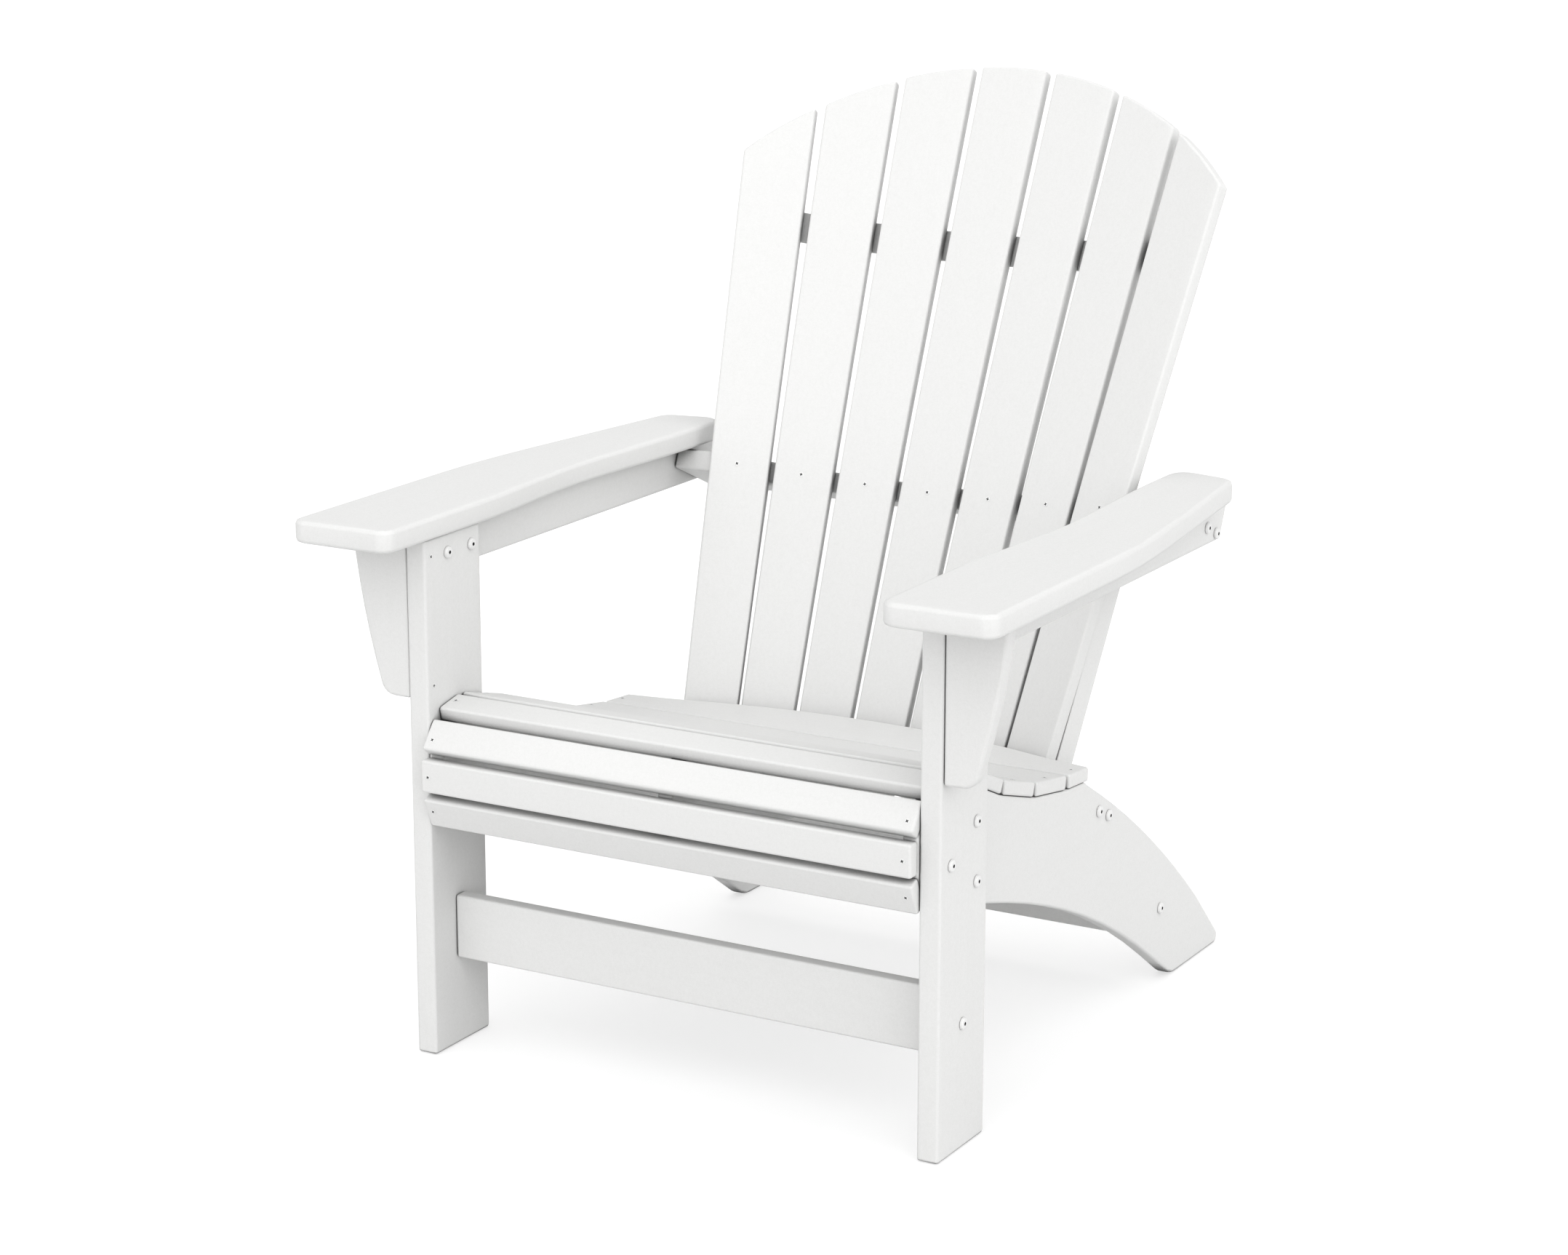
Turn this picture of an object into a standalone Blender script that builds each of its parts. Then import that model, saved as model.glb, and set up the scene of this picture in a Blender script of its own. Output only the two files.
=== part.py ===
"""Adirondack chair in white recycled-plastic lumber, modelled as its separate boards and bolts.

Units are metres, +Z is up, the sitter faces -Y and +X is the sitter's left.
Most boards are drawn in the leg frame: y = 0 is the front face of the front legs and z = 0 the ground.
The back is drawn in its own frame, which leans back: x across, y rearward through the slats, z up along them.
"""

import math

import bpy
from mathutils import Matrix, Vector
from mathutils.geometry import interpolate_bezier

# ---------------------------------------------------------------- boards
THICK_BOARD = 0.0254
THIN_BOARD = 0.0190
SLAT_THICKNESS = 0.0165
CLEARANCE = 0.0003
EDGE_RADIUS = 0.0035
ARM_EDGE_RADIUS = 0.0050
SLAT_EDGE_RADIUS = 0.0030
EDGE_SEGMENTS = 2

# ---------------------------------------------------------------- front legs and arms
LEG_OUTER_X = 0.3286
LEG_DEPTH = 0.1063
ARM_UNDERSIDE_Z = 0.5924
ARM_FRONT_Y = -0.0800
ARM_INNER_OVERHANG = 0.0082
ARM_WIDTH = 0.1290
ARM_SCOOP = 0.0145
ARM_SCOOP_Y = 0.3200
ARM_SCOOP_REACH = 0.2300
ARM_BEND_START_Y = 0.2050
ARM_BEND_END_Y = 0.4230
ARM_TAPER = 0.1320
ARM_REAR_INNER_Y = 0.6360
ARM_REAR_OUTER_Y = 0.6190
ARM_FRONT_CORNER = 0.0180
ARM_REAR_CORNER = 0.0220

# ---------------------------------------------------------------- arm rails and brackets
ARM_RAIL_HEIGHT = 0.0508
BRACKET_SETBACK = 0.0020
BRACKET_TOP_WIDTH = 0.0724
BRACKET_BOTTOM_WIDTH = 0.0360
BRACKET_HEIGHT = 0.1810
BRACKET_BOW = 0.0040
BRACKET_CORNER = 0.0180

# ---------------------------------------------------------------- seat
NOSE_WIDTH = 0.0372
WIDE_SLAT_WIDTH = 0.0762
DIP_SLAT_WIDTH = 0.0555
SEAT_GAP = 0.0055
NOSE_Y = 0.0204
NOSE_Z = 0.3930
REAR_SLAT_FRONT_GAP = 0.0070
REAR_SLAT_TILT = -4.3
REAR_SLAT_BACK_GAP = 0.0154
REAR_SLAT_CURVE_RADIUS = 0.7000
REAR_SLAT_CURVE_HALF = 0.2450
REAR_SLAT_EAR_SLOPE = 0.2200
SEAT_SLATS = (
    ("seat_slat_1_nose", NOSE_WIDTH, 11.0),
    ("seat_slat_2", WIDE_SLAT_WIDTH, -14.9),
    ("seat_slat_3", DIP_SLAT_WIDTH, -24.0),
    ("seat_slat_4", WIDE_SLAT_WIDTH, -16.8),
    ("seat_slat_5", WIDE_SLAT_WIDTH, -9.4),
)

# ---------------------------------------------------------------- apron slats on the front of the rails
APRON_SLAT_WIDTH = 0.0370
APRON_SLATS = (
    ("apron_slat_top", -0.0037, 0.3767, -38.7),
    ("apron_slat_middle", -0.0180, 0.3315, 0.0),
    ("apron_slat_bottom", -0.0080, 0.2867, 23.2),
)

# ---------------------------------------------------------------- side rails, which end in the rear feet
RAIL_FRONT_BOTTOM = (0.0030, 0.2690)
RAIL_FRONT_SLOPE = -0.2200
RAIL_FOOT_TOP = (0.6000, 0.0360)
RAIL_FOOT_SLOPE = -0.6800
RAIL_LOWER_REACH = 0.2000
RAIL_BACK_SHOULDER = (0.4051, 0.3023)
RAIL_HEEL_SHOULDER = (0.7562, 0.0485)
RAIL_BACK_BOW = 0.0135
HEEL_Y = 0.8020
HEEL_RADIUS = 0.0085
TOE_RADIUS = 0.0400
CENTRE_RAIL_REAR_Z = 0.2450
CENTRE_RAIL_GAP = 0.0040

# ---------------------------------------------------------------- stretchers
FRONT_STRETCHER_Y = 0.0428
FRONT_STRETCHER_Z = 0.1032
FRONT_STRETCHER_HEIGHT = 0.0740
REAR_STRETCHER_Y = 0.6138
REAR_STRETCHER_Z = 0.0952
REAR_STRETCHER_HEIGHT = 0.0762

# ---------------------------------------------------------------- back
RECLINE = math.radians(24.2)
BACK_Y = 0.4799
BACK_Z = 0.3134
BACK_SLAT_COUNT = 7
FAN_CURVATURE = 1.6700
FAN_CURVATURE_LOSS = 1.2420
FAN_ROLL = math.radians(6.15)
OUTER_SLAT_ROLL_LOSS = 0.0600
OUTER_SLAT_FORWARD = -0.0032
OUTER_SLAT_FORWARD_GROWTH = 0.0180
OUTER_SLAT_INWARD = 0.0020
FAN_REFERENCE = 0.7000
BACK_SLAT_BOTTOM = -0.0840
BACK_SLAT_WIDTH = 0.0655
BACK_SLAT_FLARE = 0.0254
BACK_SLAT_GAP = 0.0067
BACK_SLAT_GAP_GROWTH = 0.0058
ARCH_CENTRE = 0.3812
ARCH_RADIUS = 0.4200
ARCH_STEPS = 6
BRACE_GAP = 0.0006
FLAT_MARGIN = 0.0010
LOWER_BRACE_S = -0.0644
LOWER_BRACE_REAR = 0.0390
ARM_BRACE_DROP = 0.0144
ARM_BRACE_REAR = 0.0520
STRAP_S = 0.5799
STRAP_HEIGHT = 0.0370
STRAP_THICKNESS = 0.0048
STRAP_END_INSET = 0.0080
STRAP_EDGE_RADIUS = 0.0012
UPRIGHT_WIDTH = 0.0600
UPRIGHT_FOOT_REACH = 0.0347
UPRIGHT_HEAD_REACH = 0.0284
UPRIGHT_EDGE_RADIUS = 0.0015

# ---------------------------------------------------------------- bolts
BOLT_RADIUS = 0.0032
BOLT_HOLE_CLEARANCE = 0.0004
BOLT_END_CLEARANCE = 0.0010
BOLT_HEAD_RADIUS = 0.0068
BOLT_HEAD_HEIGHT = 0.0034
BOLT_SOCKET_RADIUS = 0.0023
BOLT_SOCKET_DEPTH = 0.0018
BOLT_SIDES = 12
BOLT_END_DEPTH = 0.0300
LEG_BOLTS = ((0.0793, 0.3537), (0.0219, 0.3212), (0.0804, 0.2879))
ARM_RAIL_FRONT_BOLTS_Y = (0.0427, 0.0880)
ARM_RAIL_BOLT_DROP = 0.0210
ARM_BRACE_BOLTS_R = (0.0080, 0.0360)
LOWER_BRACE_BOLTS_R = (-0.0187, 0.0093)

# ---------------------------------------------------------------- sizes that follow from those above
LEG_INNER_X = LEG_OUTER_X - THICK_BOARD
RAIL_OUTER_X = LEG_INNER_X - CLEARANCE
RAIL_INNER_X = RAIL_OUTER_X - THIN_BOARD
ARM_RAIL_INNER_X = LEG_OUTER_X + CLEARANCE
ARM_RAIL_OUTER_X = ARM_RAIL_INNER_X + THICK_BOARD
LEG_TOP_Z = ARM_UNDERSIDE_Z - CLEARANCE
ARM_INNER_X = LEG_INNER_X - ARM_INNER_OVERHANG
ARM_OUTER_X = ARM_INNER_X + ARM_WIDTH
FAN_PITCH = BACK_SLAT_WIDTH + BACK_SLAT_GAP
FAN_PITCH_GROWTH = BACK_SLAT_FLARE + BACK_SLAT_GAP_GROWTH
ARM_BRACE_Z = ARM_UNDERSIDE_Z - ARM_BRACE_DROP - THICK_BOARD / 2
ARM_BRACE_S = (ARM_BRACE_Z - BACK_Z) / math.cos(RECLINE)
BACK_FRAME = Matrix.Translation((0, BACK_Y, BACK_Z)) @ Matrix.Rotation(-RECLINE, 4, "X")
SIDES = (("left", 1), ("right", -1))

WHITE = (0.84, 0.84, 0.83, 1.0)
COATED = (0.88, 0.88, 0.87, 1.0)


# ================================================================ materials
def material(name, colour, roughness, metallic=0.0):
    """A plain Principled finish, made once and shared."""
    finish = bpy.data.materials.get(name)
    if finish is None:
        finish = bpy.data.materials.new(name)
        finish.use_nodes = True
        surface = finish.node_tree.nodes["Principled BSDF"]
        surface.inputs["Base Color"].default_value = colour
        surface.inputs["Roughness"].default_value = roughness
        surface.inputs["Metallic"].default_value = metallic
    return finish


def lumber():
    return material("white_lumber", WHITE, 0.55)


def coated_steel():
    return material("coated_fastener", COATED, 0.35, 0.1)


# ================================================================ outlines
def direction(angle):
    """Unit vector in a plane, angle in radians from its first axis."""
    return Vector((math.cos(angle), math.sin(angle)))


def line_meet(point_a, along_a, point_b, along_b):
    """Where two lines in a plane cross."""
    turn = along_a.x * along_b.y - along_a.y * along_b.x
    gap = point_b - point_a
    return point_a + along_a * ((gap.x * along_b.y - gap.y * along_b.x) / turn)


def fillet(corner, before, after, radius, steps=5):
    """Points of the arc that rounds the corner between two straight edges."""
    to_before = (before - corner).normalized()
    to_after = (after - corner).normalized()
    half = to_before.angle(to_after) / 2
    reach = radius / math.tan(half)
    centre = corner + (to_before + to_after).normalized() * (radius / math.sin(half))
    start = corner + to_before * reach - centre
    end = corner + to_after * reach - centre
    turns = [start.slerp(end, step / steps).normalized() for step in range(steps + 1)]
    return [centre + turn * radius for turn in turns]


def bezier(start, start_handle, end_handle, end, steps):
    """Points of a smooth curve, without its last point."""
    points = interpolate_bezier(start, start_handle, end_handle, end, steps + 1)
    return [Vector((point[0], point[1])) for point in points[:-1]]


def bowed(start, end, bow, steps):
    """Points of a shallow arc from start to end, bulging to the left of the way by bow, without the end."""
    chord = end - start
    side = Vector((-chord.y, chord.x)).normalized()
    points = []
    for step in range(steps):
        share = step / steps
        points.append(start + chord * share + side * (bow * 4 * share * (1 - share)))
    return points


# ================================================================ solids
def solid(name, points, faces, finish, parent, edge=0.0, matrix=None):
    """A mesh object with its edges rounded. The faces' order may point in: normals are set here."""
    mesh = bpy.data.meshes.new(name)
    mesh.from_pydata([tuple(point) for point in points], [], faces)
    mesh.validate()
    mesh.update()
    volume = sum(
        face.center.dot(face.normal) * face.area for face in mesh.polygons
    )
    if volume < 0:
        mesh.flip_normals()
    mesh.materials.append(finish)
    mesh.shade_smooth()
    mesh.set_sharp_from_angle(angle=math.radians(35))
    thing = bpy.data.objects.new(name, mesh)
    bpy.context.scene.collection.objects.link(thing)
    thing.parent = parent
    if matrix is not None:
        thing.matrix_local = matrix
    if edge:
        rounding = thing.modifiers.new("rounded_edges", "BEVEL")
        rounding.width = edge
        rounding.segments = EDGE_SEGMENTS
        rounding.limit_method = "ANGLE"
        rounding.angle_limit = math.radians(35)
        rounding.use_clamp_overlap = True
    return thing


def loft(name, low_outline, high_outline, finish, parent, edge=0.0, matrix=None):
    """A solid between two outlines that have the same number of 3-D points."""
    count = len(low_outline)
    faces = [list(range(count)), list(range(count, 2 * count))[::-1]]
    for here in range(count):
        there = (here + 1) % count
        faces.append([there, here, count + here, count + there])
    return solid(name, list(low_outline) + list(high_outline), faces, finish, parent, edge, matrix)


def side_board(name, outline, low_x, high_x, parent, edge=EDGE_RADIUS):
    """A board drawn in side view: outline in (y, z), thick across x."""
    centre_x = (low_x + high_x) / 2
    half = (high_x - low_x) / 2
    low = [Vector((-half, point.x, point.y)) for point in outline]
    high = [Vector((half, point.x, point.y)) for point in outline]
    return loft(name, low, high, lumber(), parent, edge, Matrix.Translation((centre_x, 0, 0)))


def plan_board(name, outline, low_z, high_z, parent, edge=EDGE_RADIUS):
    """A board drawn in plan: outline in (x, y), thick along z."""
    low = [Vector((point.x, point.y, 0)) for point in outline]
    high = [Vector((point.x, point.y, high_z - low_z)) for point in outline]
    return loft(name, low, high, lumber(), parent, edge, Matrix.Translation((0, 0, low_z)))


def front_board(name, outline, low_y, high_y, parent, edge=EDGE_RADIUS):
    """A board drawn from the front: outline in (x, z), thick along y."""
    low = [Vector((point.x, 0, point.y)) for point in outline]
    high = [Vector((point.x, high_y - low_y, point.y)) for point in outline]
    return loft(name, low, high, lumber(), parent, edge, Matrix.Translation((0, low_y, 0)))


def rectangle(low_x, high_x, low_y, high_y):
    corners = ((low_x, low_y), (high_x, low_y), (high_x, high_y), (low_x, high_y))
    return [Vector(corner) for corner in corners]


# ================================================================ seat line
def seat_places():
    """Each seat slat's name, width, tilt and mid-thickness front edge, walked from the nose to the rear."""
    place = Vector((NOSE_Y, NOSE_Z))
    places = []
    for index, (name, width, tilt) in enumerate(SEAT_SLATS):
        angle = math.radians(tilt)
        places.append((name, width, angle, place.copy()))
        place += direction(angle) * width
        last = index + 1 == len(SEAT_SLATS)
        next_tilt = REAR_SLAT_TILT if last else SEAT_SLATS[index + 1][2]
        gap = REAR_SLAT_FRONT_GAP if last else SEAT_GAP
        place += direction(math.radians(tilt + next_tilt) / 2) * gap
    return places, place


SEAT_PLACES, REAR_SLAT_FRONT = seat_places()


def slat_line(angle, place, drop):
    """The line that runs drop below a seat slat's middle, as point and direction in (y, z)."""
    down = Vector((math.sin(angle), -math.cos(angle)))
    return place + down * drop, direction(angle)


def apron_frame(slat):
    """An apron slat's front-face middle, its way up along the face and its way in to the rail."""
    _, mid_y, mid_z, tilt = slat
    lean = math.radians(tilt)
    up = Vector((-math.sin(lean), math.cos(lean)))
    inward = Vector((math.cos(lean), math.sin(lean)))
    return Vector((mid_y, mid_z)), up, inward


def rail_front_edge():
    """The rail's front edge, from its bottom corner up to the nose, just behind the apron slats."""
    lines = []
    for slat in reversed(APRON_SLATS):
        middle, up, inward = apron_frame(slat)
        lines.append((middle + inward * (SLAT_THICKNESS + CLEARANCE), up))
    bottom = Vector(RAIL_FRONT_BOTTOM)
    flat = Vector((1.0, 0.0))
    points = [line_meet(bottom, flat, *lines[0])]
    for lower, upper in zip(lines, lines[1:]):
        points.append(line_meet(*lower, *upper))
    return points, lines[-1]


def rail_top_edge(front_line):
    """The rail's top edge, from the nose to the rear slat: one flat under each seat slat."""
    drop = SLAT_THICKNESS / 2 + CLEARANCE
    lines = [slat_line(angle, place, drop) for _, _, angle, place in SEAT_PLACES]
    lines.append(slat_line(math.radians(REAR_SLAT_TILT), REAR_SLAT_FRONT, drop))
    points = [line_meet(*front_line, *lines[0])]
    for before, after in zip(lines, lines[1:]):
        points.append(line_meet(*before, *after))
    return points, lines[-1]


def side_rail_outline():
    """Seat rail and rear foot in one board, as (y, z) points from the front bottom corner."""
    front, front_line = rail_front_edge()
    top, rear_line = rail_top_edge(front_line)
    shoulder = Vector(RAIL_BACK_SHOULDER)
    before_shoulder = Vector((shoulder.x - EDGE_RADIUS, shoulder.y))
    outline = front + top + [line_meet(*rear_line, before_shoulder, Vector((0.0, 1.0)))]
    heel_shoulder = Vector(RAIL_HEEL_SHOULDER)
    outline += bowed(shoulder, heel_shoulder, RAIL_BACK_BOW, 10)
    heel = Vector((HEEL_Y, 0.0))
    foot_top = Vector(RAIL_FOOT_TOP)
    toe = Vector((foot_top.x - foot_top.y / RAIL_FOOT_SLOPE, 0.0))
    outline += fillet(heel, heel_shoulder, toe, HEEL_RADIUS)
    outline += fillet(toe, heel, foot_top, TOE_RADIUS, 3)
    front_reach = Vector((RAIL_LOWER_REACH, RAIL_LOWER_REACH * RAIL_FRONT_SLOPE))
    foot_reach = Vector((RAIL_LOWER_REACH, RAIL_LOWER_REACH * RAIL_FOOT_SLOPE))
    outline += bezier(foot_top, foot_top - foot_reach, front[0] + front_reach, front[0], 12)
    return outline


def side_rails(parent):
    for side, sign in SIDES:
        span = sorted((sign * RAIL_INNER_X, sign * RAIL_OUTER_X))
        side_board(f"side_rail_{side}", side_rail_outline(), *span, parent)


def centre_rail(parent):
    """The middle seat rail. It stops in front of the back slats, along their lean."""
    front, front_line = rail_front_edge()
    top, rear_line = rail_top_edge(front_line)
    outline = front + top
    slat_face = Vector((BACK_Y - CENTRE_RAIL_GAP / math.cos(RECLINE), BACK_Z))
    lean = Vector((math.sin(RECLINE), math.cos(RECLINE)))
    level = Vector((1.0, 0.0))
    outline.append(line_meet(slat_face, lean, *rear_line))
    outline.append(line_meet(slat_face, lean, Vector((0, CENTRE_RAIL_REAR_Z)), level))
    side_board("centre_rail", outline, -THIN_BOARD / 2, THIN_BOARD / 2, parent)


# ================================================================ seat and apron slats
def cross_slat(name, front_edge, along, inward, width, thickness, parent):
    """A straight slat across the chair; front_edge is its section's first corner in (y, z)."""
    section = [
        front_edge,
        front_edge + along * width,
        front_edge + along * width + inward * thickness,
        front_edge + inward * thickness,
    ]
    return side_board(name, section, -RAIL_OUTER_X, RAIL_OUTER_X, parent, SLAT_EDGE_RADIUS)


def seat_slats(parent):
    for name, width, angle, place in SEAT_PLACES:
        down = Vector((math.sin(angle), -math.cos(angle)))
        top_edge = place - down * (SLAT_THICKNESS / 2)
        cross_slat(name, top_edge, direction(angle), down, width, SLAT_THICKNESS, parent)


def apron_slats(parent):
    for slat in APRON_SLATS:
        middle, up, inward = apron_frame(slat)
        bottom = middle - up * (APRON_SLAT_WIDTH / 2)
        cross_slat(slat[0], bottom, up, inward, APRON_SLAT_WIDTH, SLAT_THICKNESS, parent)


def rear_slat_y(x):
    """Where the rear slat's rear edge runs at x: an arc in the middle, then straight to the ends."""
    across = min(abs(x), REAR_SLAT_CURVE_HALF)
    sag = REAR_SLAT_CURVE_RADIUS - math.sqrt(REAR_SLAT_CURVE_RADIUS**2 - across**2)
    return BACK_Y - REAR_SLAT_BACK_GAP - sag - (abs(x) - across) * REAR_SLAT_EAR_SLOPE


def rear_seat_slat(parent, steps=24):
    """The wide rear slat, whose rear edge is cut to the curve of the back."""
    angle = math.radians(REAR_SLAT_TILT)
    outlines = []
    for drop in (SLAT_THICKNESS / 2, -SLAT_THICKNESS / 2):
        start, _ = slat_line(angle, REAR_SLAT_FRONT, drop)
        outline = [Vector((sign * RAIL_OUTER_X, start.x, start.y)) for sign in (-1, 1)]
        for step in range(steps + 1):
            x = RAIL_OUTER_X * (1 - 2 * step / steps)
            y = rear_slat_y(x)
            outline.append(Vector((x, y, start.y + (y - start.x) * math.tan(angle))))
        outlines.append(outline)
    loft("seat_slat_6_rear", *outlines, lumber(), parent, SLAT_EDGE_RADIUS)


# ================================================================ legs, arms and stretchers
def front_legs(parent):
    for side, sign in SIDES:
        span = sorted((sign * LEG_INNER_X, sign * LEG_OUTER_X))
        outline = rectangle(0.0, LEG_DEPTH, 0.0, LEG_TOP_Z)
        side_board(f"front_leg_{side}", outline, *span, parent)


def arm_outline(sign):
    """The armrest in plan: straight at the front, scooped inside, tapering outside towards the rear."""
    inner_front = Vector((ARM_INNER_X, ARM_FRONT_Y))
    outer_front = Vector((ARM_OUTER_X, ARM_FRONT_Y))
    bend_reach = (ARM_BEND_END_Y - ARM_BEND_START_Y) / 3
    bend_start = Vector((ARM_OUTER_X, ARM_BEND_START_Y))
    bend_end = Vector((ARM_OUTER_X - 2 * bend_reach * ARM_TAPER, ARM_BEND_END_Y))
    taper_run = ARM_REAR_OUTER_Y - ARM_BEND_END_Y
    outer_rear = Vector((bend_end.x - taper_run * ARM_TAPER, ARM_REAR_OUTER_Y))
    inner_rear = Vector((ARM_INNER_X + ARM_SCOOP / 3, ARM_REAR_INNER_Y))
    scoop = Vector((ARM_INNER_X + ARM_SCOOP, ARM_SCOOP_Y))
    scoop_front = Vector((ARM_INNER_X, ARM_SCOOP_Y - ARM_SCOOP_REACH))
    scoop_rear = Vector((inner_rear.x, ARM_SCOOP_Y + ARM_SCOOP_REACH))
    lead = Vector((0.0, ARM_SCOOP_REACH / 3))
    outline = fillet(inner_front, inner_rear, outer_front, ARM_FRONT_CORNER)
    outline += fillet(outer_front, inner_front, bend_start, ARM_FRONT_CORNER)
    outline += bezier(
        bend_start,
        bend_start + Vector((0.0, bend_reach)),
        bend_end + Vector((bend_reach * ARM_TAPER, -bend_reach)),
        bend_end,
        6,
    )
    outline.append(bend_end)
    outline += fillet(outer_rear, bend_end, inner_rear, ARM_REAR_CORNER)
    outline += fillet(inner_rear, outer_rear, scoop_rear, ARM_REAR_CORNER)
    outline += bezier(scoop_rear, scoop_rear - lead, scoop + lead, scoop, 5)
    outline += bezier(scoop, scoop - lead, scoop_front + lead, scoop_front, 5)
    outline.append(scoop_front)
    return [Vector((sign * point.x, point.y)) for point in outline]


def armrests(parent):
    for side, sign in SIDES:
        plan_board(
            f"armrest_{side}",
            arm_outline(sign),
            ARM_UNDERSIDE_Z,
            ARM_UNDERSIDE_Z + THICK_BOARD,
            parent,
            ARM_EDGE_RADIUS,
        )


def arm_rails(parent):
    """The boards outside the legs that carry the armrests back to the arm brace."""
    bottom = LEG_TOP_Z - ARM_RAIL_HEIGHT
    front = BRACKET_SETBACK + THIN_BOARD + CLEARANCE
    lean = Vector((math.sin(RECLINE), math.cos(RECLINE)))
    rear_point = Vector((BACK_Y + ARM_BRACE_REAR / math.cos(RECLINE), BACK_Z))
    level = Vector((1.0, 0.0))
    outline = [
        Vector((front, bottom)),
        line_meet(rear_point, lean, Vector((0, bottom)), level),
        line_meet(rear_point, lean, Vector((0, LEG_TOP_Z)), level),
        Vector((front, LEG_TOP_Z)),
    ]
    for side, sign in SIDES:
        span = sorted((sign * ARM_RAIL_INNER_X, sign * ARM_RAIL_OUTER_X))
        side_board(f"arm_rail_{side}", outline, *span, parent)


def arm_brackets(parent):
    """The tapered gussets on the outside of the front legs, under the armrests."""
    for side, sign in SIDES:
        inner = LEG_OUTER_X + CLEARANCE
        top_outer = Vector((inner + BRACKET_TOP_WIDTH, LEG_TOP_Z))
        bottom_outer = Vector((inner + BRACKET_BOTTOM_WIDTH, LEG_TOP_Z - BRACKET_HEIGHT))
        top_inner = Vector((inner, LEG_TOP_Z))
        bottom_inner = Vector((inner, LEG_TOP_Z - BRACKET_HEIGHT))
        corner = fillet(bottom_outer, bottom_inner, top_outer, BRACKET_CORNER)
        outline = [top_inner, bottom_inner] + corner[:-1]
        outline += bowed(corner[-1], top_outer, -BRACKET_BOW, 6)
        outline.append(top_outer)
        outline = [Vector((sign * point.x, point.y)) for point in outline]
        low_y = BRACKET_SETBACK
        front_board(f"arm_bracket_{side}", outline, low_y, low_y + THIN_BOARD, parent)


def stretchers(parent):
    front = rectangle(
        FRONT_STRETCHER_Y,
        FRONT_STRETCHER_Y + THIN_BOARD,
        FRONT_STRETCHER_Z,
        FRONT_STRETCHER_Z + FRONT_STRETCHER_HEIGHT,
    )
    half = LEG_INNER_X - CLEARANCE
    side_board("front_stretcher", front, -half, half, parent, SLAT_EDGE_RADIUS)
    rear = rectangle(
        REAR_STRETCHER_Y - THIN_BOARD / 2,
        REAR_STRETCHER_Y + THIN_BOARD / 2,
        REAR_STRETCHER_Z - REAR_STRETCHER_HEIGHT / 2,
        REAR_STRETCHER_Z + REAR_STRETCHER_HEIGHT / 2,
    )
    half = RAIL_INNER_X - CLEARANCE
    side_board("rear_stretcher", rear, -half, half, parent, SLAT_EDGE_RADIUS)


# ================================================================ back slats
def curvature(s):
    """Curvature of the back's front surface at height s up the back."""
    return FAN_CURVATURE - FAN_CURVATURE_LOSS * s


def outer_share(index):
    """How far slat number index goes its own way: 1 for the outermost two, near 0 for the middle ones."""
    return (index / (BACK_SLAT_COUNT // 2)) ** 4


def fan_point(index, s):
    """Front-face centre of slat number index (0 is the middle one) at height s, in the back frame."""
    radius = 1 / curvature(s)
    angle = index * (FAN_PITCH + FAN_PITCH_GROWTH * s) / radius
    forward = outer_share(index) * (OUTER_SLAT_FORWARD + OUTER_SLAT_FORWARD_GROWTH * s)
    inward = math.copysign(outer_share(index) * OUTER_SLAT_INWARD, index)
    return Vector((radius * math.sin(angle) - inward, -radius * (1 - math.cos(angle)) - forward, s))


def slat_axes(index):
    """A slat's origin, its way across, its way rearward and its way up, in the back frame."""
    origin = fan_point(index, 0.0)
    up = (fan_point(index, FAN_REFERENCE) - origin).normalized()
    roll = index * FAN_ROLL * (1 - OUTER_SLAT_ROLL_LOSS * outer_share(index))
    across = Vector((math.cos(roll), -math.sin(roll), 0.0))
    across = (across - up * across.dot(up)).normalized()
    return origin, across, up.cross(across), up


def slat_matrix(index):
    origin, across, rearward, up = slat_axes(index)
    turn = Matrix((across, rearward, up)).transposed().to_4x4()
    return Matrix.Translation(origin) @ turn


def arch_height(index, share):
    """How far up a slat the arched top cuts the line at share of its half width (-1 to 1)."""
    origin, across, _, up = slat_axes(index)
    start = origin + across * (share * BACK_SLAT_WIDTH / 2)
    climb = up + across * (share * BACK_SLAT_FLARE / 2)
    start_x, start_s = start.x, start.z - ARCH_CENTRE
    a = climb.x**2 + climb.z**2
    b = 2 * (start_x * climb.x + start_s * climb.z)
    c = start_x**2 + start_s**2 - ARCH_RADIUS**2
    return (-b + math.sqrt(b * b - 4 * a * c)) / (2 * a)


def half_width(v):
    return (BACK_SLAT_WIDTH + BACK_SLAT_FLARE * v) / 2


def back_slats(parent):
    middle = BACK_SLAT_COUNT // 2
    for number in range(BACK_SLAT_COUNT):
        index = number - middle
        bottom = BACK_SLAT_BOTTOM
        outline = [Vector((-half_width(bottom), bottom)), Vector((half_width(bottom), bottom))]
        for step in range(ARCH_STEPS + 1):
            share = 1 - 2 * step / ARCH_STEPS
            v = arch_height(index, share)
            outline.append(Vector((share * half_width(v), v)))
        front = [Vector((point.x, 0.0, point.y)) for point in outline]
        rear = [Vector((point.x, SLAT_THICKNESS, point.y)) for point in outline]
        name = f"back_slat_{number + 1}"
        loft(name, front, rear, lumber(), parent, SLAT_EDGE_RADIUS, slat_matrix(index))


# ================================================================ braces behind the back slats
def slat_flat(index, s, setback):
    """The line, in plan at height s, that lies setback behind a slat's rear face: point and direction."""
    origin, across, rearward, up = slat_axes(index)
    centre = origin + up * ((s - origin.z) / up.z)
    flat_across = Vector((across.x, across.y)).normalized()
    flat_rear = Vector((-flat_across.y, flat_across.x))
    tilt = math.hypot(rearward.x, rearward.y)
    offset = flat_rear * ((SLAT_THICKNESS + setback) / tilt)
    return Vector((centre.x, centre.y)) + offset, flat_across


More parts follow.
